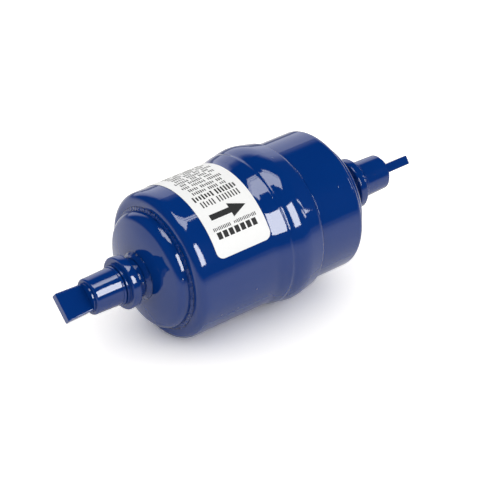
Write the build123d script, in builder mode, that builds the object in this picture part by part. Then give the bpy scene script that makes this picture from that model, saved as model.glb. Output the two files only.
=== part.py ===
from build123d import *
import math
import os

# Inline liquid-line filter drier with flare ends, lying along X with its inlet at -X.
# The origin is on the flow axis, midway between the two flare collars. Millimetres.

os.makedirs("parts", exist_ok=True)

# Pressure shell: a bell half with a swaged band, and a spigot half that slides into it.
barrel_radius = 32.8
shell_wall = 1.4
inlet_rim_x = 44.8
outlet_rim_x = 43.4
bell_corner_radius = 3.7
shoulder_angle = 6.0
shoulder_radius = 22.0
spigot_corner_radius = 2.6
spigot_inset = 1.1
lap_clearance = 0.1
lap_length = 32.0
lip_x = 19.0
lip_rise = 0.8
lip_edge_radius = 0.35
flare_start_x = -5.6
flare_angle = 12.5
flare_radius = 12.0
flare_length = 4.6
crease_radius = 2.0
crease_turn = 26.0
rise_angle = 16.5
rise_length = 1.8
crest_radius = 15.0
crest_turn = 27.0

# Domed heads, welded into the necked ends of both halves.
head_wall = 1.3
head_inset = 6.8
head_skirt_depth = 6.5
head_side_angle = 11.0
head_side_radius = 9.0
head_knuckle_radius = 4.0
head_dome_radius = 70.0
head_clearance = 0.05
seam_bead_width = 0.9
seam_bead_height = 1.6
lap_bead_width = 1.9

# Flare fittings: neck, round collar, step ring, threaded spigot with a 45 degree nose.
neck_length = 4.8
collar_radius = 11.6
collar_width = 4.0
collar_edge_radius = 0.6
step_radius = 9.3
step_width = 1.5
neck_radius = 8.8
neck_reach = 2.0
braze_width = 2.0
thread_major_radius = 5.555
thread_relief_radius = 4.75
thread_relief_width = 1.3
spigot_length = 12.5
nose_tip_radius = 3.4
flow_radius = 2.4
mouth_radius = 3.9

# Push-on dust caps with a gripping tab.
cap_clearance = 0.3
cap_end_wall = 1.4
cap_bore_radius = thread_major_radius + cap_clearance
cap_base_radius = 8.3
cap_end_radius = 7.95
cap_edge_radius = 0.9
cap_lip_radius = 8.7
cap_lip_width = 1.2
cap_lip_edge_radius = 0.3
stub_radius = 6.5
stub_length = 0.9
tab_length = 12.2
tab_root_width = 12.0
tab_tip_width = 12.9
tab_thickness = 4.1
tab_edge_radius = 0.5
inlet_tab_turn = 41.0
outlet_tab_turn = 142.0

# Paper label wrapped over the bell half.
label_width = 27.6
label_margin = 0.1
label_thickness = 0.12
label_glue_thickness = 0.06
label_low_angle = 28.0
label_arc_angle = 125.0
label_corner_radius = 3.3

# Filter pack, held by a spring between the two heads.
pack_clearance = 0.1
spring_wire_radius = 1.0
spring_mean_radius = 13.5
spring_turns = 3.0
follower_gap = 0.5
plate_thickness = 1.2
plate_flange_depth = 3.0
plate_hole_radius = 2.2
plate_hole_rings = 3
plate_hole_pitch = 7.8
inlet_pad_thickness = 4.0
outlet_pad_thickness = 8.0
screen_thickness = 0.4
strainer_wall = 0.4
strainer_length = 9.0
strainer_flange_radius = 6.0

# Sizes that follow from the ones above.
barrel_bore_radius = barrel_radius - shell_wall
insert_radius = barrel_bore_radius - lap_clearance
insert_bore_radius = insert_radius - shell_wall
spigot_radius = barrel_radius - spigot_inset
spigot_start_x = lip_x - lap_length
spigot_bare_x = lip_x + lap_bead_width
head_skirt_radius = barrel_radius - head_inset
opening_radius = head_skirt_radius + head_clearance
side_sine = math.sin(math.radians(head_side_angle))
side_cosine = math.cos(math.radians(head_side_angle))
knuckle_centre_x = seam_bead_width + (head_side_radius - head_knuckle_radius) * side_sine
knuckle_centre_r = head_skirt_radius - head_side_radius + (head_side_radius - head_knuckle_radius) * side_cosine
dome_centre = knuckle_centre_x - math.sqrt((head_dome_radius - head_knuckle_radius) ** 2 - knuckle_centre_r**2)
head_rise = dome_centre + head_dome_radius
collar_back_x = inlet_rim_x + head_rise + neck_length
collar_front = collar_width
step_front = collar_front + step_width
spigot_end = step_front + spigot_length
cap_mouth = step_front + cap_clearance
cap_end = spigot_end + cap_clearance + cap_end_wall
tab_root = cap_end + stub_length
neck_inner_end = -(collar_back_x - outlet_rim_x - head_rise + head_wall + neck_reach)

inlet_end = Location((-inlet_rim_x, 0, 0), (0, 0, 180))
outlet_end = Location((outlet_rim_x, 0, 0))
inlet_collar = Location((-collar_back_x, 0, 0), (0, 0, 180))
outlet_collar = Location((collar_back_x, 0, 0))


def dome_x(radius, dome_radius=head_dome_radius):
    """Distance outward from the rim plane to the dome's surface at a radius."""
    return dome_centre + math.sqrt(dome_radius**2 - radius**2)


def save(part, name):
    part.label = name
    export_step(part, f"parts/{name}.step")


def place(part, location, name):
    """Writes a copy of a piece that is made once and used at both ends."""
    with BuildPart() as placed:
        with Locations(location):
            add(part)
    save(placed.part, name)


# Bell half: rim, rounded shoulder, barrel, flare with a crease, crest of the band, and a lip that closes
# in round the spigot.
shoulder_drop = (shoulder_radius - bell_corner_radius) * (1 - math.cos(math.radians(shoulder_angle)))
corner_start = (-inlet_rim_x, barrel_radius - shoulder_drop - bell_corner_radius)
flare_start = (flare_start_x, barrel_radius)
lip = (lip_x, barrel_radius + lip_rise)

with BuildPart() as bell_shell:
    with BuildSketch(Plane.XZ):
        with BuildLine():
            Line((-inlet_rim_x, opening_radius), corner_start)
            corner = JernArc(corner_start, (0, 1), bell_corner_radius, shoulder_angle - 90)
            shoulder = JernArc(corner @ 1, corner % 1, shoulder_radius, -shoulder_angle)
            Line(shoulder @ 1, flare_start)
            flare_blend = JernArc(flare_start, (1, 0), flare_radius, flare_angle)
            flare = PolarLine(flare_blend @ 1, flare_length, direction=flare_blend % 1)
            bulge = JernArc(flare @ 1, flare % 1, crease_radius, -crease_turn)
            crease = JernArc(bulge @ 1, bulge % 1, crease_radius, crease_turn + rise_angle - flare_angle)
            rise = PolarLine(crease @ 1, rise_length, direction=crease % 1)
            crest = JernArc(rise @ 1, rise % 1, crest_radius, -crest_turn)
            lip_run = TangentArc(crest @ 1, lip, tangent=crest % 1)
            offset(amount=shell_wall, side=Side.RIGHT)
        make_face()
    revolve(axis=Axis.X)
    lip_end_edges = bell_shell.edges().filter_by(GeomType.CIRCLE).group_by(Axis.X)[-1]
    fillet(lip_end_edges, lip_edge_radius)
save(bell_shell.part, "bell_shell")

# Spigot half: a plain cup whose open end is sized down to slide into the barrel, with the step at the lip.
insert_end = (lip_x, insert_radius)
bare_start = (spigot_bare_x, spigot_radius)
spigot_corner_start = (outlet_rim_x - spigot_corner_radius, spigot_radius)
spigot_corner_end = (outlet_rim_x, spigot_radius - spigot_corner_radius)

with BuildPart() as spigot_shell:
    with BuildSketch(Plane.XZ):
        with BuildLine():
            Polyline((spigot_start_x, insert_radius), insert_end, bare_start, spigot_corner_start)
            RadiusArc(spigot_corner_start, spigot_corner_end, spigot_corner_radius)
            Line(spigot_corner_end, (outlet_rim_x, opening_radius))
            offset(amount=shell_wall, side=Side.RIGHT)
        make_face()
    revolve(axis=Axis.X)
save(spigot_shell.part, "spigot_shell")

# Brazed bead that fills the mouth of the lap, from the middle of the lip's end face to the bare spigot.
lip_direction = lip_run % 1
lip_inward = Vector(lip_direction.Y, -lip_direction.X) * shell_wall
lip_middle = Vector(lip) + lip_inward / 2
lip_inner = Vector(lip) + lip_inward

with BuildPart() as lap_bead:
    with BuildSketch(Plane.XZ):
        with BuildLine():
            Polyline(lip_middle, lip_inner, (lip_inner.X, insert_radius), insert_end, bare_start)
            RadiusArc(lip_middle, bare_start, 2 * lap_bead_width)
        make_face()
    revolve(axis=Axis.X)
save(lap_bead.part, "lap_bead")

# Head: skirt, drafted side, rolled knuckle and shallow dome, with the hole for the neck. Rim plane at x = 0.
knuckle_share = head_dome_radius / (head_dome_radius - head_knuckle_radius)
knuckle_end_x = dome_centre + (knuckle_centre_x - dome_centre) * knuckle_share
knuckle_end = (knuckle_end_x, knuckle_centre_r * knuckle_share)
neck_hole_radius = neck_radius + head_clearance

with BuildPart() as head:
    with BuildSketch(Plane.XZ):
        with BuildLine():
            Line((-head_skirt_depth, head_skirt_radius), (seam_bead_width, head_skirt_radius))
            side = JernArc((seam_bead_width, head_skirt_radius), (1, 0), head_side_radius, -head_side_angle)
            RadiusArc(side @ 1, knuckle_end, head_knuckle_radius)
            RadiusArc(knuckle_end, (dome_x(neck_hole_radius), neck_hole_radius), head_dome_radius)
            offset(amount=head_wall, side=Side.RIGHT)
        make_face()
    revolve(axis=Axis.X)
    Cylinder(neck_hole_radius, 2 * head_dome_radius, rotation=(0, 90, 0), mode=Mode.SUBTRACT)
place(head.part, inlet_end, "inlet_head")
place(head.part, outlet_end, "outlet_head")

# Seam bead in the corner between the shell's rim and the head's skirt.
bead_top = (0, head_skirt_radius + seam_bead_height)
bead_foot = (seam_bead_width, head_skirt_radius)
with BuildPart() as seam_bead:
    with BuildSketch(Plane.XZ):
        with BuildLine():
            Polyline(bead_top, (0, head_skirt_radius), bead_foot)
            RadiusArc(bead_top, bead_foot, -2 * seam_bead_height)
        make_face()
    revolve(axis=Axis.X)
place(seam_bead.part, inlet_end, "inlet_seam_bead")
place(seam_bead.part, outlet_end, "outlet_seam_bead")

# Braze fillet between the dome and the neck.
braze_outer = neck_radius + braze_width
with BuildPart() as neck_braze:
    with BuildSketch(Plane.XZ):
        with BuildLine():
            RadiusArc((dome_x(braze_outer), braze_outer), (dome_x(neck_radius), neck_radius), head_dome_radius)
            Line((dome_x(neck_radius), neck_radius), (dome_x(neck_radius) + braze_width, neck_radius))
            RadiusArc(
                (dome_x(braze_outer), braze_outer),
                (dome_x(neck_radius) + braze_width, neck_radius),
                -1.6 * braze_width,
            )
        make_face()
    revolve(axis=Axis.X)
place(neck_braze.part, inlet_end, "inlet_neck_braze")
place(neck_braze.part, outlet_end, "outlet_neck_braze")

# Flare fitting, turned from bar. The collar's back face is at x = 0.
with BuildPart() as fitting:
    with BuildSketch(Plane.XZ):
        with BuildLine():
            Polyline(
                (neck_inner_end, flow_radius),
                (neck_inner_end, neck_radius),
                (0, neck_radius),
                (0, collar_radius),
                (collar_front, collar_radius),
                (collar_front, step_radius),
                (step_front, step_radius),
                (step_front, thread_relief_radius),
                (step_front + thread_relief_width, thread_relief_radius),
                (step_front + thread_relief_width, thread_major_radius),
                (spigot_end - thread_major_radius + nose_tip_radius, thread_major_radius),
                (spigot_end, nose_tip_radius),
                (spigot_end, flow_radius),
                close=True,
            )
        make_face()
    revolve(axis=Axis.X)
    fillet(fitting.edges().filter_by(GeomType.CIRCLE).group_by(SortBy.RADIUS)[-1], collar_edge_radius)
    mouth_edge = fitting.edges().filter_by(GeomType.CIRCLE).sort_by(Axis.X)[0]
    chamfer(mouth_edge, mouth_radius - flow_radius)
place(fitting.part, inlet_collar, "inlet_fitting")
place(fitting.part, outlet_collar, "outlet_fitting")

# Dust cap: lip, slightly tapered cup with a blind bore, stub and a blade tab across the axis.
with BuildPart() as dust_cap:
    with BuildSketch(Plane.XZ):
        with BuildLine():
            Polyline(
                (cap_mouth, cap_bore_radius),
                (cap_mouth, cap_lip_radius),
                (cap_mouth + cap_lip_width, cap_lip_radius),
                (cap_mouth + cap_lip_width, cap_base_radius),
                (cap_end, cap_end_radius),
                (cap_end, stub_radius),
                (tab_root, stub_radius),
                (tab_root, 0),
                (cap_end - cap_end_wall, 0),
                (cap_end - cap_end_wall, cap_bore_radius),
                close=True,
            )
        make_face()
    revolve(axis=Axis.X)
    lip_edges = dust_cap.edges().filter_by(GeomType.CIRCLE).group_by(SortBy.RADIUS)[-1]
    fillet(lip_edges, cap_lip_edge_radius)
    end_edges = dust_cap.edges().filter_by(GeomType.CIRCLE).filter_by_position(Axis.X, cap_end, cap_end)
    fillet(end_edges.sort_by(SortBy.RADIUS)[-1], cap_edge_radius)
    with BuildSketch(Plane.YZ.offset(tab_root)):
        Rectangle(tab_root_width, tab_thickness)
    with BuildSketch(Plane.YZ.offset(tab_root + tab_length)):
        Rectangle(tab_tip_width, tab_thickness)
    loft()
    fillet(dust_cap.edges().filter_by(lambda e: e.center().X > tab_root + tab_edge_radius), tab_edge_radius)
inlet_cap_seat = Location((-collar_back_x, 0, 0), (inlet_tab_turn, 0, 180))
outlet_cap_seat = Location((collar_back_x, 0, 0), (outlet_tab_turn, 0, 0))
place(dust_cap.part, inlet_cap_seat, "inlet_dust_cap")
place(dust_cap.part, outlet_cap_seat, "outlet_dust_cap")

# Label: a thin sheet, glued round the upper side of the barrel, with rounded corners at both ends.
label_radius = barrel_radius + label_glue_thickness + label_thickness / 2
label_middle_x = flare_start_x - label_margin - label_width / 2
label_high_angle = label_low_angle + label_arc_angle
label_start_plane = Plane.XZ.rotated((label_low_angle - 90, 0, 0))
low_end = Plane(Location((label_middle_x, 0, 0), (label_low_angle - 90, 0, 180))).offset(label_radius)
high_end = Plane(Location((label_middle_x, 0, 0), (label_high_angle - 90, 0, 0))).offset(label_radius)

with BuildPart() as label:
    with BuildSketch(label_start_plane):
        with Locations((label_middle_x, label_radius)):
            Rectangle(label_width, label_thickness)
    revolve(axis=Axis.X, revolution_arc=label_arc_angle)
    with BuildSketch(low_end, high_end):
        Rectangle(2 * label_width, 2 * label_corner_radius)
        with Locations((0, 2 * label_corner_radius)):
            RectangleRounded(label_width, 4 * label_corner_radius, label_corner_radius, mode=Mode.SUBTRACT)
    extrude(amount=label_corner_radius, both=True, mode=Mode.SUBTRACT)
save(label.part, "label")


def perforated_plate(outer_radius):
    """Pressed plate with rings of holes and a turned-up flange, its flat face at x = 0."""
    with BuildPart() as plate:
        with BuildSketch(Plane.XZ):
            with BuildLine():
                Polyline(
                    (0, 0),
                    (0, outer_radius),
                    (plate_flange_depth, outer_radius),
                    (plate_flange_depth, outer_radius - plate_thickness),
                    (plate_thickness, outer_radius - plate_thickness),
                    (plate_thickness, 0),
                    close=True,
                )
            make_face()
        revolve(axis=Axis.X)
        with BuildSketch(Plane.YZ):
            Circle(plate_hole_radius)
            for ring in range(1, plate_hole_rings + 1):
                with PolarLocations(ring * plate_hole_pitch, 6 * ring):
                    Circle(plate_hole_radius)
        extrude(amount=plate_thickness, mode=Mode.SUBTRACT)
    return plate.part


# Follower plate that the spring presses on the bed, and the fixed plate at the outlet head's skirt.
wide_radius = barrel_bore_radius - pack_clearance
narrow_radius = insert_bore_radius - pack_clearance
follower_face_x = -inlet_rim_x + head_skirt_depth + follower_gap + plate_thickness
support_face_x = outlet_rim_x - head_skirt_depth - plate_thickness
follower_location = Location((follower_face_x, 0, 0), (0, 0, 180))
support_location = Location((support_face_x, 0, 0))
place(perforated_plate(wide_radius), follower_location, "follower_plate")
place(perforated_plate(narrow_radius), support_location, "support_plate")

# Pads, screen and desiccant bed, stacked between the two plates.
bed_start_x = follower_face_x + inlet_pad_thickness
bed_step_x = spigot_start_x - pack_clearance
screen_start_x = support_face_x - screen_thickness
bed_end_x = screen_start_x - outlet_pad_thickness


def disc(start_x, thickness, radius, name):
    """Writes one flat disc of the stack."""
    with BuildPart() as layer:
        with BuildSketch(Plane.YZ.offset(start_x)):
            Circle(radius)
        extrude(amount=thickness)
    save(layer.part, name)


disc(follower_face_x, inlet_pad_thickness, wide_radius, "inlet_pad")
disc(bed_end_x, outlet_pad_thickness, narrow_radius, "outlet_pad")
disc(screen_start_x, screen_thickness, narrow_radius, "outlet_screen")

with BuildPart() as desiccant_bed:
    with BuildSketch(Plane.YZ.offset(bed_start_x)):
        Circle(wide_radius)
    extrude(amount=bed_step_x - bed_start_x)
    with BuildSketch(Plane.YZ.offset(bed_step_x)):
        Circle(narrow_radius)
    extrude(amount=bed_end_x - bed_step_x)
save(desiccant_bed.part, "desiccant_bed")

# Coil spring between the inlet head and the follower plate.
spring_outer_radius = spring_mean_radius + spring_wire_radius
head_inner_x = -inlet_rim_x - dome_x(spring_outer_radius, head_dome_radius - head_wall)
spring_start_x = head_inner_x + pack_clearance + spring_wire_radius
spring_end_x = follower_face_x - plate_thickness - pack_clearance - spring_wire_radius
spring_height = spring_end_x - spring_start_x

with BuildPart() as load_spring:
    with BuildLine():
        coil = Helix(
            spring_height / spring_turns,
            spring_height,
            spring_mean_radius,
            center=(spring_start_x, 0, 0),
            direction=(1, 0, 0),
        )
    with BuildSketch(Plane(origin=coil @ 0, z_dir=coil % 0)):
        Circle(spring_wire_radius)
    sweep(is_frenet=True)
save(load_spring.part, "load_spring")

# Mesh thimble over the mouth of the outlet neck.
strainer_seat_x = collar_back_x + neck_inner_end
with BuildPart() as outlet_strainer:
    with BuildSketch(Plane.XZ):
        with BuildLine():
            Polyline(
                (strainer_seat_x, mouth_radius),
                (strainer_seat_x, strainer_flange_radius),
                (strainer_seat_x - strainer_wall, strainer_flange_radius),
                (strainer_seat_x - strainer_wall, mouth_radius + strainer_wall),
                (strainer_seat_x - strainer_length, mouth_radius + strainer_wall),
                (strainer_seat_x - strainer_length, 0),
                (strainer_seat_x - strainer_length + strainer_wall, 0),
                (strainer_seat_x - strainer_length + strainer_wall, mouth_radius),
                close=True,
            )
        make_face()
    revolve(axis=Axis.X)
save(outlet_strainer.part, "outlet_strainer")
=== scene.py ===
import math
import random

import bmesh
import bpy
from mathutils import Matrix, Vector


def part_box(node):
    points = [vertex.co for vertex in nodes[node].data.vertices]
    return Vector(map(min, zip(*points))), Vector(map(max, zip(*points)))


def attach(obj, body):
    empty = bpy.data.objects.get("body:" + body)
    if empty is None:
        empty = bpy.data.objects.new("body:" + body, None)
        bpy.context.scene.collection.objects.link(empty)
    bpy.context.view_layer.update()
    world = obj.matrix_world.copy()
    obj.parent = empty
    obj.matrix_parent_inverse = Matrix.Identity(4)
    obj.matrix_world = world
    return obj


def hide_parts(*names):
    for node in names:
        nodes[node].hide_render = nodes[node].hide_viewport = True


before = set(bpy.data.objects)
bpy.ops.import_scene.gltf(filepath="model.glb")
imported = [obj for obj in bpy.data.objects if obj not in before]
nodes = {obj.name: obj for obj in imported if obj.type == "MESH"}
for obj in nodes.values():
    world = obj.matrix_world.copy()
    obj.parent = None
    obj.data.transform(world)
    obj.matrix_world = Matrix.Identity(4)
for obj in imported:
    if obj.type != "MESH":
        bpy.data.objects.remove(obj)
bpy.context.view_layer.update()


# Studio: the drier lies on a white laminate table in a dark room with one pale wall. Softboxes hang to the
# right and overhead. The drier tips until its band and its inlet shoulder both rest on the table, so the
# table is laid at that small slope.
MM = 0.001
scene = bpy.context.scene
scene.view_settings.view_transform = "Standard"


def linear(code):
    """An sRGB hex colour as the linear RGBA that the shaders take."""
    parts = [int(code[i:i + 2], 16) / 255 for i in (1, 3, 5)]
    return [c / 12.92 if c <= 0.04045 else ((c + 0.055) / 1.055) ** 2.4 for c in parts] + [1.0]


def add_node(tree, kind, values=None, **settings):
    """A node with its settings, and its inputs set or linked by name or number."""
    made = tree.nodes.new("ShaderNode" + kind)
    for name, value in settings.items():
        setattr(made, name, value)
    for name, value in (values or {}).items():
        if isinstance(value, bpy.types.NodeSocket):
            tree.links.new(value, made.inputs[name])
        else:
            made.inputs[name].default_value = value
    return made


def new_material(name):
    """An empty material and its node tree."""
    made = bpy.data.materials.new(name)
    made.use_nodes = True
    made.node_tree.nodes.clear()
    return made, made.node_tree


# The camera stands 0.84 m off, on the near side of the inlet end, and looks down on the label.
camera_place = Vector((-421.9, -549.9, 466.8)) * MM
right = Vector((0.7896, -0.6138, 0.0)).normalized()
forward = Vector((0.5057, 0.6506, -0.5665)).normalized()
up = right.cross(forward).normalized()
camera_data = bpy.data.cameras.new("studio_camera")
camera_data.sensor_width = 36.0
camera_data.lens = 139.85
camera_data.clip_end = 20
camera = bpy.data.objects.new("studio_camera", camera_data)
camera.matrix_world = Matrix.Translation(camera_place) @ Matrix((right, up, -forward)).transposed().to_4x4()
scene.collection.objects.link(camera)
scene.camera = camera

# In the gloss the room is dark but for the wall behind, which fades out above head height. The matt
# surfaces take an even white fill, and the camera sees plain white.
wall_facing = (0.5, 0.866, 0.0)
wall_level = 1.4
dark_level = 0.03
fill_level = 0.9
world = bpy.data.worlds.new("studio_room")
scene.world = world
world.use_nodes = True
room = world.node_tree
room.nodes.clear()
paths = add_node(room, "LightPath")
direction = add_node(room, "TexCoord").outputs["Generated"]
height = add_node(room, "SeparateXYZ", {0: direction})
wall_top = add_node(room, "MapRange", {0: height.outputs["Z"], 1: 0.5, 2: 0.7, 3: 1.0, 4: 0.0})
facing = add_node(room, "VectorMath", {0: direction, 1: wall_facing}, operation="DOT_PRODUCT")
wall_side = add_node(room, "MapRange", {0: facing.outputs["Value"], 1: 0.72, 2: 0.86, 3: dark_level, 4: wall_level})
wall = add_node(room, "Math", {0: wall_top.outputs[0], 1: wall_side.outputs[0]}, operation="MULTIPLY")
in_gloss = add_node(room, "Background", {0: linear("#f6f7ff"), 1: wall.outputs[0]})
fill = add_node(room, "Math", {0: wall.outputs[0], 1: 0.25, 2: fill_level}, operation="MULTIPLY_ADD")
on_matt = add_node(room, "Background", {0: linear("#fffffe"), 1: fill.outputs[0]})
lit = add_node(room, "MixShader", {0: paths.outputs["Is Glossy Ray"], 1: on_matt.outputs[0], 2: in_gloss.outputs[0]})
white = add_node(room, "Background", {0: linear("#ffffff"), 1: 1.0})
seen = add_node(room, "MixShader", {0: paths.outputs["Is Camera Ray"], 1: lit.outputs[0], 2: white.outputs[0]})
add_node(room, "OutputWorld", {0: seen.outputs[0]})


def softbox(name, place, towards, width, height, level, turn=0, seen_in="gloss"):
    """A rectangular lamp in metres that faces a point. It is seen in the gloss or lights the matt surfaces."""
    lamp = bpy.data.lights.new(name, "AREA")
    lamp.shape = "RECTANGLE"
    lamp.size = width
    lamp.size_y = height
    lamp.energy = level * math.pi * width * height
    lamp.color = linear("#f9fbff")[:3]
    holder = bpy.data.objects.new(name, lamp)
    away = (Vector(place) - Vector(towards)).normalized()
    side = Vector((0, 0, 1)).cross(away).normalized() if abs(away.z) < 0.99 else Vector((1, 0, 0))
    holder.matrix_world = (
        Matrix.Translation(place)
        @ Matrix((side, away.cross(side), away)).transposed().to_4x4()
        @ Matrix.Rotation(math.radians(turn), 4, "Z")
    )
    holder.visible_diffuse = seen_in == "matt"
    holder.visible_glossy = seen_in == "gloss"
    scene.collection.objects.link(holder)


softbox("right_softbox", (0.274, -0.932, 0.587), (0, -0.02, 0.02), width=0.384, height=0.62, level=15, turn=-4)

# One broad panel and two narrow ones hang a metre up, square to the camera, with dark gaps between them.
ceiling = 1.0
panel_centre = 0.19
panel_width = 0.56
panel_turn = -37.9
for name, depth, reach in (
    ("top_softbox", 0.045, 0.35),
    ("top_strip_near", 0.25, 0.034),
    ("top_strip_far", 0.298, 0.034),
):
    place = Vector(
        (panel_centre * right.x - depth * right.y, panel_centre * right.y + depth * right.x, ceiling)
    )
    under = place - Vector((0, 0, 1))
    softbox(name, place, under, width=panel_width, height=reach, level=7, turn=panel_turn)

# Two slim lamps beyond the outlet end put the hooked highlight on the falling side of the band.
hook_foot = 0.25
for name, across, height in (("hook_left", -0.02, 0.2), ("hook_right", 0.14, 0.36)):
    place = (0.78, -0.68 + across, hook_foot + height / 2)
    softbox(name, place, (0, 0, 0), width=0.05, height=height, level=9)

softbox("right_key", (0.36, -0.87, 0.57), (0, 0, 0), width=0.44, height=0.62, level=1.42, seen_in="matt")

band_crest = Vector((9.5, 0, -35.22)) * MM
shoulder = Vector((-39.5, 0, -32.8)) * MM
table_slope = math.atan2(shoulder.z - band_crest.z, band_crest.x - shoulder.x)
table_gap = 0.02 * MM
table_half_width = 4.0
table_mesh = bmesh.new()
bmesh.ops.create_grid(table_mesh, x_segments=1, y_segments=1, size=table_half_width)
bmesh.ops.rotate(table_mesh, verts=table_mesh.verts, matrix=Matrix.Rotation(table_slope, 3, "Y"))
bmesh.ops.translate(table_mesh, verts=table_mesh.verts, vec=band_crest - Vector((0, 0, table_gap)))
table_data = bpy.data.meshes.new("table")
table_mesh.to_mesh(table_data)
table_mesh.free()
table = bpy.data.objects.new("table", table_data)
scene.collection.objects.link(table)

# Matt white laminate. The camera sees it brighter than it lights the drier, so that it runs on into the
# white of the room and still keeps the drier's shadow. In the gloss it darkens away from the lamps.
camera_lift = 0.87
matt_white, tree = new_material("matt_white_laminate")
place = add_node(tree, "TexCoord").outputs["Object"]
grain = add_node(tree, "TexNoise", {"Vector": place, "Scale": 1 / (56 * MM), "Detail": 3.0})
tone = add_node(tree, "Mix", {0: grain.outputs[0], 6: linear("#eae8e5"), 7: linear("#efedea")}, data_type="RGBA")
away = add_node(tree, "VectorMath", {0: place}, operation="LENGTH")
fade = add_node(tree, "MapRange", {0: away.outputs["Value"], 1: 0.18, 2: 0.6, 3: 0.4, 4: -0.6})
paths = add_node(tree, "LightPath")
in_gloss = add_node(
    tree, "Math", {0: paths.outputs["Is Glossy Ray"], 1: fade.outputs[0], 2: 1.0}, operation="MULTIPLY_ADD"
)
lift = add_node(
    tree,
    "Math",
    {0: paths.outputs["Is Camera Ray"], 1: camera_lift, 2: in_gloss.outputs[0]},
    operation="MULTIPLY_ADD",
)
seen = add_node(tree, "VectorMath", {0: tone.outputs[2], "Scale": lift.outputs[0]}, operation="SCALE")
surface = add_node(tree, "BsdfDiffuse", {"Color": seen.outputs[0]})
add_node(tree, "OutputMaterial", {0: surface.outputs[0]})
table_data.materials.append(matt_white)


def dress(name, material):
    """Gives a carried-over node its material."""
    data = nodes[name].data
    data.materials.clear()
    data.materials.append(material)


# Cold-rolled sheet, lightly oiled: grey and satin, with fine rolling lines 0.3 mm apart.
steel_sheet, tree = new_material("pressed_steel_sheet")
place = add_node(tree, "TexCoord").outputs["Object"]
along = add_node(tree, "Mapping", {"Vector": place, "Scale": (1.0, 1.0, 12.0)})
rolling = add_node(tree, "TexNoise", {"Vector": along.outputs[0], "Scale": 1 / (3.6 * MM), "Detail": 3.0})
tone = add_node(tree, "Mix", {0: rolling.outputs[0], 6: linear("#8d8f92"), 7: linear("#b4b6b9")}, data_type="RGBA")
gloss = add_node(tree, "MapRange", {0: rolling.outputs[0], 3: 0.28, 4: 0.42})
bump = add_node(tree, "Bump", {"Height": rolling.outputs[0], "Strength": 1.0, "Distance": 0.006 * MM})
surface = add_node(
    tree,
    "BsdfPrincipled",
    {"Base Color": tone.outputs[2], "Metallic": 1.0, "Roughness": gloss.outputs[0], "Normal": bump.outputs[0]},
)
add_node(tree, "OutputMaterial", {0: surface.outputs[0]})
dress("follower_plate", steel_sheet)
dress("support_plate", steel_sheet)


# Load spring: a coil of hard-drawn steel wire, held between the inlet head and the follower plate. Drawing
# leaves lines round the wire, and winding leaves a bluish film, so it is darker than the plates.
spring_wire, tree = new_material("drawn_spring_wire")
place = add_node(tree, "TexCoord").outputs["Object"]
film = add_node(tree, "TexNoise", {"Vector": place, "Scale": 1 / (6 * MM), "Detail": 3.0})
drawing = add_node(tree, "TexWave", {"Vector": place, "Scale": 1 / (0.5 * MM), "Distortion": 2.0}, bands_direction="X")
tone = add_node(tree, "Mix", {0: film.outputs[0], 6: linear("#5d6068"), 7: linear("#7f7b78")}, data_type="RGBA")
bump = add_node(tree, "Bump", {"Height": drawing.outputs[0], "Strength": 1.0, "Distance": 0.004 * MM})
surface = add_node(
    tree,
    "BsdfPrincipled",
    {"Base Color": tone.outputs[2], "Metallic": 1.0, "Roughness": 0.32, "Normal": bump.outputs[0]},
)
add_node(tree, "OutputMaterial", {0: surface.outputs[0]})
dress("load_spring", spring_wire)


# Inlet and outlet pads: discs cut from needled polyester felt, which the spring presses against the bed.
# The off-white fibres lie every way, so the felt is matt and softly mottled.
felt, tree = new_material("needled_felt_pad")
place = add_node(tree, "TexCoord").outputs["Object"]
strands = add_node(tree, "TexNoise", {"Vector": place, "Scale": 1 / (0.6 * MM), "Detail": 5.0, "Distortion": 2.5})
clumps = add_node(tree, "TexNoise", {"Vector": place, "Scale": 1 / (5 * MM), "Detail": 2.0})
mottle = add_node(tree, "Math", {0: strands.outputs[0], 1: clumps.outputs[0]}, operation="MULTIPLY")
share = add_node(tree, "MapRange", {0: mottle.outputs[0], 1: 0.12, 2: 0.4})
tone = add_node(tree, "Mix", {0: share.outputs[0], 6: linear("#cfc8b2"), 7: linear("#efeadb")}, data_type="RGBA")
bump = add_node(tree, "Bump", {"Height": strands.outputs[0], "Strength": 1.0, "Distance": 0.2 * MM})
surface = add_node(
    tree,
    "BsdfPrincipled",
    {"Base Color": tone.outputs[2], "Roughness": 0.95, "Sheen Weight": 0.3, "Normal": bump.outputs[0]},
)
add_node(tree, "OutputMaterial", {0: surface.outputs[0]})
dress("inlet_pad", felt)
dress("outlet_pad", felt)


# Outlet screen and strainer: plain-woven stainless wire cloth, one disc on the support plate and one thimble
# over the outlet. The wire crowns take the metal's grey; the holes and the dips between crowns are painted dark as
# shade. The mesh is drawn at 0.8 mm, so coarse that it shows.
wire_spacing = 0.8
wire_cloth, tree = new_material("woven_wire_cloth")
place = add_node(tree, "TexCoord").outputs["Object"]
split = add_node(tree, "SeparateXYZ", {0: place})
weft = add_node(
    tree, "Math", {0: split.outputs["Y"], 1: 2 * math.pi / (wire_spacing * MM)}, operation="MULTIPLY"
)
warp = add_node(
    tree, "Math", {0: split.outputs["Z"], 1: 2 * math.pi / (wire_spacing * MM)}, operation="MULTIPLY"
)
weft_wave = add_node(tree, "Math", {0: weft.outputs[0]}, operation="SINE")
warp_wave = add_node(tree, "Math", {0: warp.outputs[0]}, operation="SINE")
crown_and_hole_shade = add_node(tree, "Math", {0: weft_wave.outputs[0], 1: warp_wave.outputs[0]}, operation="MAXIMUM")
height = add_node(tree, "MapRange", {0: crown_and_hole_shade.outputs[0], 1: -0.4, 2: 1.0})
# Painted shade: the holes and the dips between wire crowns are coloured dark grey.
tone = add_node(tree, "Mix", {0: height.outputs[0], 6: linear("#3c3d40"), 7: linear("#b9bbbe")}, data_type="RGBA")
bump = add_node(tree, "Bump", {"Height": height.outputs[0], "Strength": 1.0, "Distance": 0.12 * MM})
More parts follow.
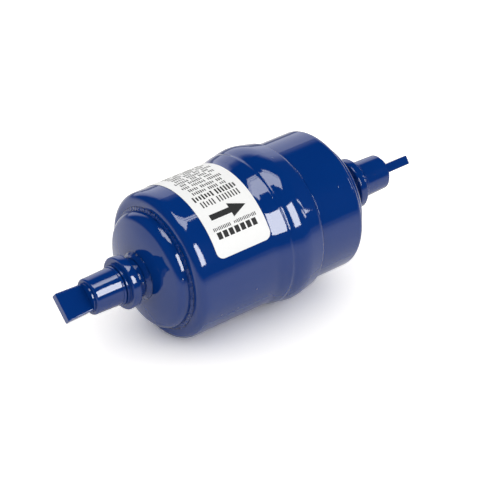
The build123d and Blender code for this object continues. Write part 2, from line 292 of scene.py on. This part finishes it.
surface = add_node(
    tree,
    "BsdfPrincipled",
    {"Base Color": tone.outputs[2], "Metallic": 1.0, "Roughness": 0.34, "Normal": bump.outputs[0]},
)
add_node(tree, "OutputMaterial", {0: surface.outputs[0]})
dress("outlet_screen", wire_cloth)
dress("outlet_strainer", wire_cloth)


# Desiccant bed: molecular sieve beads about 2.5 mm across, poured between the pads. They are fired clay
# and zeolite, so they are dull buff balls, each a little different; the gaps between them are painted dark brown as
# shade.
bead_size = 2.5
bead_bed, tree = new_material("molecular_sieve_beads")
place = add_node(tree, "TexCoord").outputs["Object"]
beads = add_node(tree, "TexVoronoi", {"Vector": place, "Scale": 1 / (bead_size * MM), "Randomness": 0.7})
bead_dome_and_gap_shade = add_node(tree, "MapRange", {0: beads.outputs["Distance"], 1: 0.15, 2: 0.62, 3: 1.0, 4: 0.0})
each = add_node(tree, "SeparateColor", {0: beads.outputs["Color"]})
clay = add_node(tree, "Mix", {0: each.outputs[0], 6: linear("#c2a988"), 7: linear("#dcc8a8")}, data_type="RGBA")
# Painted shade: the gaps between the beads are coloured dark brown.
tone = add_node(tree, "Mix", {0: bead_dome_and_gap_shade.outputs[0], 6: linear("#5b4a38"), 7: clay.outputs[2]}, data_type="RGBA")
bump = add_node(tree, "Bump", {"Height": bead_dome_and_gap_shade.outputs[0], "Strength": 1.0, "Distance": 0.9 * MM})
surface = add_node(
    tree, "BsdfPrincipled", {"Base Color": tone.outputs[2], "Roughness": 0.8, "Normal": bump.outputs[0]}
)
add_node(tree, "OutputMaterial", {0: surface.outputs[0]})
dress("desiccant_bed", bead_bed)


# Shell halves and heads: deep-drawn mild steel, welded up, then the closed drier with its caps on is
# sprayed with one coat of blue stoving enamel and baked. The thick film hides the grain of the steel and
# rounds its edges. It is a deep gloss with a faint orange peel and a few trapped dust nibs.
enamel_blue = linear("#063680")
enamel_dark = linear("#043078")
cloud_size = 25
peel_size = 3
nib_spacing = 11
film_edge = 0.5


def enamel(name, ripple):
    """The blue enamel over smooth sheet, or over a weld with a ripple of so many millimetres in height."""
    made, tree = new_material(name)
    place = add_node(tree, "TexCoord").outputs["Object"]
    cloud = add_node(tree, "TexNoise", {"Vector": place, "Scale": 1 / (cloud_size * MM), "Detail": 2.0})
    tone = add_node(tree, "Mix", {0: cloud.outputs[0], 6: enamel_dark, 7: enamel_blue}, data_type="RGBA")
    edges = add_node(tree, "Bevel", {"Radius": film_edge * MM}, samples=4)
    peel = add_node(tree, "TexNoise", {"Vector": place, "Scale": 1 / (peel_size * MM), "Detail": 1.0})
    bump = add_node(
        tree, "Bump", {"Height": peel.outputs[0], "Strength": 1.0, "Distance": 0.006 * MM, "Normal": edges.outputs[0]}
    )
    nibs = add_node(tree, "TexVoronoi", {"Vector": place, "Scale": 1 / (nib_spacing * MM)})
    nib = add_node(tree, "MapRange", {0: nibs.outputs["Distance"], 1: 0.0, 2: 0.06, 3: 1.0, 4: 0.0})
    bump = add_node(
        tree, "Bump", {"Height": nib.outputs[0], "Strength": 1.0, "Distance": 0.3 * MM, "Normal": bump.outputs[0]}
    )
    if ripple:
        wave = add_node(tree, "TexNoise", {"Vector": place, "Scale": 1 / (1.7 * MM), "Detail": 3.0})
        bump = add_node(
            tree,
            "Bump",
            {"Height": wave.outputs[0], "Strength": 1.0, "Distance": ripple * MM, "Normal": bump.outputs[0]},
        )
    surface = add_node(
        tree,
        "BsdfPrincipled",
        {"Base Color": tone.outputs[2], "Roughness": 0.05, "IOR": 1.53, "Normal": bump.outputs[0]},
    )
    add_node(tree, "OutputMaterial", {0: surface.outputs[0]})
    return made


sheet_enamel = enamel("blue_stoving_enamel", ripple=0)
for name in ("bell_shell", "spigot_shell", "inlet_head", "outlet_head"):
    dress(name, sheet_enamel)


# Joints: the two seam beads in the grooves round the heads and the bead at the mouth of the lap are
# torch-brazed by hand, and so are the fillets at the necks. The enamel follows their ripples.
seam_enamel = enamel("blue_enamel_over_seam", ripple=1.6)
fillet_enamel = enamel("blue_enamel_over_fillet", ripple=0.35)
for name in ("inlet_seam_bead", "outlet_seam_bead"):
    dress(name, seam_enamel)
for name in ("inlet_neck_braze", "outlet_neck_braze", "lap_bead"):
    dress(name, fillet_enamel)


# Flare fittings: turned from steel bar. Neck, collar and step ring are enamelled with the shell. The
# thread was under the dust cap then, so it stays in bare zinc plate: 7/16-20, right-hand, 45 degree nose.
# Sizes are in millimetres along the fitting's axis, from the back face of the collar.
neck_radius = 8.8
neck_depth = 9.5
collar_radius = 11.6
collar_width = 4.0
collar_edge = 0.6
step_radius = 9.3
step_width = 1.5
relief_radius = 4.75
relief_width = 1.3
thread_major = 5.555
thread_pitch = 1.27
thread_depth = 0.78
thread_turns = 11
thread_steps = 48
spigot_length = 12.5
nose_radius = 3.4
bore_radius = 2.4
bore_chamfer = 1.5
step_front = collar_width + step_width
nose_front = step_front + spigot_length

# Bright zinc plate: a pale grey metal with a soft cloudiness about 1.5 mm across.
zinc_plate, tree = new_material("zinc_plated_thread")
place = add_node(tree, "TexCoord").outputs["Object"]
spangle = add_node(tree, "TexNoise", {"Vector": place, "Scale": 1 / (1.5 * MM), "Detail": 3.0})
tone = add_node(tree, "Mix", {0: spangle.outputs[0], 6: linear("#a3a6a8"), 7: linear("#c9cbc6")}, data_type="RGBA")
gloss = add_node(tree, "MapRange", {0: spangle.outputs[0], 3: 0.2, 4: 0.34})
surface = add_node(
    tree, "BsdfPrincipled", {"Base Color": tone.outputs[2], "Metallic": 1.0, "Roughness": gloss.outputs[0]}
)
add_node(tree, "OutputMaterial", {0: surface.outputs[0]})


def spun(profile, steps):
    """A bmesh with a closed ring section, in millimetres of (x, radius), spun round the X axis."""
    made = bmesh.new()
    ring = [made.verts.new((x * MM, r * MM, 0)) for x, r in profile]
    edges = [made.edges.new((a, b)) for a, b in zip(ring, ring[1:] + ring[:1])]
    bmesh.ops.spin(
        made, geom=ring + edges, cent=(0, 0, 0), axis=(1, 0, 0), angle=2 * math.pi, steps=steps, use_merge=True
    )
    return made


def finished(made, name, material, body):
    """Closes a bmesh into a smooth-shaded object with sharp edges kept, riding on its body."""
    bmesh.ops.remove_doubles(made, verts=made.verts, dist=0.0005 * MM)
    bmesh.ops.recalc_face_normals(made, faces=made.faces)
    sharp_from = math.radians(32)
    for face in made.faces:
        face.smooth = True
    for edge in made.edges:
        edge.smooth = edge.calc_face_angle(0) < sharp_from
    data = bpy.data.meshes.new(name)
    made.to_mesh(data)
    made.free()
    data.materials.append(material)
    piece = bpy.data.objects.new(name, data)
    scene.collection.objects.link(piece)
    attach(piece, body)
    return piece


def collar_piece(name, node, seat):
    """Neck, collar and step ring, set with the collar's back face at the seat."""
    made = spun(
        [
            (-neck_depth, bore_radius + bore_chamfer),
            (-neck_depth, neck_radius),
            (0, neck_radius),
            (0, collar_radius),
            (collar_width, collar_radius),
            (collar_width, step_radius),
            (step_front, step_radius),
            (step_front, bore_radius),
            (-neck_depth + bore_chamfer, bore_radius),
        ],
        steps=144,
    )
    rims = [
        edge
        for edge in made.edges
        if all(abs(math.hypot(v.co.y, v.co.z) - collar_radius * MM) < 0.01 * MM for v in edge.verts)
        and abs(edge.verts[0].co.x - edge.verts[1].co.x) < 0.01 * MM
    ]
    bmesh.ops.bevel(
        made,
        geom=rims,
        offset=collar_edge * MM,
        offset_type="OFFSET",
        segments=5,
        profile=0.5,
        affect="EDGES",
        material=-1,
    )
    made.transform(seat)
    piece = finished(made, name, sheet_enamel, "drier")
    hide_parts(node)


def thread_piece(name, node, seat):
    """Threaded spigot with relief, chamfered nose and bore, set in front of the step ring."""
    root = thread_major - thread_depth
    made = bmesh.new()
    one_turn = [(0, root), (0.25, root), (0.5625, thread_major), (0.6875, thread_major), (1, root)]
    ridge = [made.verts.new((share * thread_pitch * MM, r * MM, 0)) for share, r in one_turn]
    edges = [made.edges.new(pair) for pair in zip(ridge, ridge[1:])]
    bmesh.ops.spin(
        made,
        geom=ridge + edges,
        cent=(0, 0, 0),
        axis=(1, 0, 0),
        dvec=(thread_pitch * MM / thread_steps, 0, 0),
        angle=2 * math.pi * thread_turns,
        steps=thread_turns * thread_steps,
    )
    bmesh.ops.remove_doubles(made, verts=made.verts, dist=0.002 * MM)
    bmesh.ops.translate(made, verts=made.verts, vec=((step_front - thread_pitch) * MM, 0, 0))
    for cut, keep_behind in ((step_front + relief_width, False), (nose_front, True)):
        bmesh.ops.bisect_plane(
            made,
            geom=made.verts[:] + made.edges[:] + made.faces[:],
            plane_co=(cut * MM, 0, 0),
            plane_no=(1, 0, 0),
            clear_outer=keep_behind,
            clear_inner=not keep_behind,
        )
    # The 45 degree nose turns down every crest that stands out of its cone.
    for vert in made.verts:
        reach = nose_radius * MM + (nose_front * MM - vert.co.x)
        radius = math.hypot(vert.co.y, vert.co.z)
        if radius > reach:
            vert.co.y *= reach / radius
            vert.co.z *= reach / radius

    def pulled(edges, x, radius):
        """Extrudes a ring of open edges to a circle of this radius at x."""
        grown = bmesh.ops.extrude_edge_only(made, edges=edges)["geom"]
        for vert in (g for g in grown if isinstance(g, bmesh.types.BMVert)):
            scale = radius * MM / math.hypot(vert.co.y, vert.co.z)
            vert.co = (x * MM, vert.co.y * scale, vert.co.z * scale)
        return [g for g in grown if isinstance(g, bmesh.types.BMEdge)]

    open_edges = [edge for edge in made.edges if edge.is_boundary]
    back = [e for e in open_edges if all(v.co.x < (step_front + relief_width + 0.01) * MM for v in e.verts)]
    front = [e for e in open_edges if all(v.co.x > (nose_front - 0.01) * MM for v in e.verts)]
    back = pulled(back, step_front + relief_width, relief_radius)
    back = pulled(back, step_front, relief_radius)
    back = pulled(back, step_front, bore_radius)
    front = pulled(front, nose_front, bore_radius)
    bmesh.ops.bridge_loops(made, edges=back + front)
    made.transform(seat)
    piece = finished(made, name, zinc_plate, "drier")
    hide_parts(node)


inlet_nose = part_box("inlet_fitting")[0][0]
outlet_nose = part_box("outlet_fitting")[1][0]
inlet_seat = Matrix.Translation((inlet_nose + nose_front * MM, 0, 0)) @ Matrix.Rotation(math.pi, 4, "Z")
outlet_seat = Matrix.Translation((outlet_nose - nose_front * MM, 0, 0))
collar_piece("inlet_collar", "inlet_fitting", inlet_seat)
collar_piece("outlet_collar", "outlet_fitting", outlet_seat)
thread_piece("inlet_thread", "inlet_fitting", inlet_seat)
thread_piece("outlet_thread", "outlet_fitting", outlet_seat)


# Dust caps: moulded polyethylene, pushed over the flare ends before spraying. Outside they carry the
# same enamel, and in the bore, where no spray came, the milky plastic shows.
bare_radius = 6.4
bare_reach = 77.9
cap_skin, tree = new_material("enamelled_polyethylene_cap")
place = add_node(tree, "TexCoord").outputs["Object"]
split = add_node(tree, "SeparateXYZ", {0: place})
across = add_node(tree, "CombineXYZ", {"Y": split.outputs["Y"], "Z": split.outputs["Z"]})
radius = add_node(tree, "VectorMath", {0: across.outputs[0]}, operation="LENGTH")
reach = add_node(tree, "Math", {0: split.outputs["X"]}, operation="ABSOLUTE")
in_bore = add_node(tree, "Math", {0: radius.outputs["Value"], 1: bare_radius * MM}, operation="LESS_THAN")
before_end = add_node(tree, "Math", {0: reach.outputs[0], 1: bare_reach * MM}, operation="LESS_THAN")
bare = add_node(tree, "Math", {0: in_bore.outputs[0], 1: before_end.outputs[0]}, operation="MULTIPLY")
cloud = add_node(tree, "TexNoise", {"Vector": place, "Scale": 1 / (cloud_size * MM), "Detail": 2.0})
painted = add_node(tree, "Mix", {0: cloud.outputs[0], 6: enamel_dark, 7: enamel_blue}, data_type="RGBA")
milky = add_node(tree, "Mix", {0: cloud.outputs[0], 6: linear("#cfd3d2"), 7: linear("#e2e4e0")}, data_type="RGBA")
tone = add_node(tree, "Mix", {0: bare.outputs[0], 6: painted.outputs[2], 7: milky.outputs[2]}, data_type="RGBA")
gloss = add_node(tree, "MapRange", {0: bare.outputs[0], 3: 0.06, 4: 0.4})
peel = add_node(tree, "TexNoise", {"Vector": place, "Scale": 1 / (2.2 * MM), "Detail": 1.0})
bump = add_node(tree, "Bump", {"Height": peel.outputs[0], "Strength": 1.0, "Distance": 0.02 * MM})
surface = add_node(
    tree,
    "BsdfPrincipled",
    {"Base Color": tone.outputs[2], "Roughness": gloss.outputs[0], "IOR": 1.53, "Normal": bump.outputs[0]},
)
add_node(tree, "OutputMaterial", {0: surface.outputs[0]})
for name in ("inlet_dust_cap", "outlet_dust_cap"):
    dress(name, cap_skin)


# Label: white coated paper, glued round the barrel after painting, with its print in black ink. The
# print is rows of plain strokes in place of words, a row of squares and an arrow along the flow.
paper, tree = new_material("white_coated_paper")
place = add_node(tree, "TexCoord").outputs["Object"]
fibre = add_node(tree, "TexNoise", {"Vector": place, "Scale": 1 / (0.4 * MM), "Detail": 2.0})
tone = add_node(tree, "Mix", {0: fibre.outputs[0], 6: linear("#f7f7f6"), 7: linear("#fbfbfb")}, data_type="RGBA")
bump = add_node(tree, "Bump", {"Height": fibre.outputs[0], "Strength": 1.0, "Distance": 0.004 * MM})
surface = add_node(
    tree,
    "BsdfPrincipled",
    {"Base Color": tone.outputs[2], "Roughness": 0.45, "IOR": 1.45, "Normal": bump.outputs[0]},
)
add_node(tree, "OutputMaterial", {0: surface.outputs[0]})
dress("label", paper)

# Printing ink: a thin black coat, duller than the paper, with a slightly uneven cover.
black_ink, tree = new_material("black_printing_ink")
place = add_node(tree, "TexCoord").outputs["Object"]
cover = add_node(tree, "TexNoise", {"Vector": place, "Scale": 1 / (0.5 * MM), "Detail": 2.0})
tone = add_node(tree, "Mix", {0: cover.outputs[0], 6: linear("#060607"), 7: linear("#111113")}, data_type="RGBA")
surface = add_node(tree, "BsdfPrincipled", {"Base Color": tone.outputs[2], "Roughness": 0.6, "IOR": 1.4})
add_node(tree, "OutputMaterial", {0: surface.outputs[0]})

# Each row of print has its angle round the barrel, the height of its strokes, their width and the gap
# between them, and where its words start and end along X. The small rows get words of chance lengths.
paper_radius = 32.98
ink_under = 0.02
ink_height = 0.04
print_rows = [
    (137.0, 3.0, 2.2, 0.75, [(-29.7, -8.6)]),
    (131.8, 1.5, 0.4, 0.42, [(-30.3, -21.0), (-19.8, -8.2)]),
    (110.9, 3.1, 0.6, 0.85, [(-28.7, -21.6), (-20.4, -9.6)]),
    (104.2, 3.0, 0.8, 0.7, [(-30.2, -20.4), (-18.8, -8.0)]),
]
small_row_angles = (98.7, 94.1, 89.4, 85.1, 80.9, 76.7, 72.5, 68.3, 64.1, 59.9)
print_rows += [(angle, 1.75, 0.5, 0.5, None) for angle in small_row_angles]
row_start, last_word_start, row_end = -30.0, -12, -7.0
word_lengths = (3.0, 4.0, 5.0, 7.0)
word_gap = 1.1
short_stroke = 0.72
arrow_angle = 122.4
marks = bmesh.new()


def mark(start, end, angle, height, taper=0):
    """A flat mark on the unrolled label, in millimetres; taper 1 narrows it to a point at its far end."""
    columns, rows = 12 if taper else 1, max(2, round(height / 0.9))
    grid = bmesh.ops.create_grid(marks, x_segments=columns, y_segments=rows, size=0.5)
    for vert in grid["verts"]:
        share = vert.co.x + 0.5
        vert.co.x = start + (end - start) * share
        vert.co.y = math.radians(angle) * paper_radius + vert.co.y * height * (1 - taper * share)


shuffle = random.Random(7)
for angle, height, stroke, gap, words in print_rows:
    if words is None:
        words, start = [], row_start + shuffle.random() * 2
        while start < last_word_start:
            end = min(start + shuffle.choice(word_lengths), row_end)
            words.append((start, end))
            start = end + word_gap
    for start, end in words:
        x = start
        while x + stroke <= end + 0.01:
            tall = height * shuffle.choice((1, 1, 1, short_stroke)) if stroke < 1 else height
            mark(x, x + stroke, angle, tall)
            x += stroke + gap
mark(-28.8, -18.5, arrow_angle, height=2.6)
mark(-18.5, -10.6, arrow_angle, height=6.6, taper=1)
raised = bmesh.ops.extrude_face_region(marks, geom=marks.faces[:], use_keep_orig=True)["geom"]
bmesh.ops.translate(marks, verts=[g for g in raised if isinstance(g, bmesh.types.BMVert)], vec=(0, 0, ink_height))
for vert in marks.verts:
    turned, radius = vert.co.y / paper_radius, paper_radius - ink_under + vert.co.z
    vert.co = Vector((vert.co.x, radius * math.cos(turned), radius * math.sin(turned))) * MM
bmesh.ops.remove_doubles(marks, verts=marks.verts, dist=0.001 * MM)
bmesh.ops.dissolve_degenerate(marks, edges=marks.edges, dist=0.001 * MM)
bmesh.ops.recalc_face_normals(marks, faces=marks.faces)
print_data = bpy.data.meshes.new("label_print")
marks.to_mesh(print_data)
marks.free()
print_data.materials.append(black_ink)
label_print = bpy.data.objects.new("label_print", print_data)
scene.collection.objects.link(label_print)
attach(label_print, "drier")
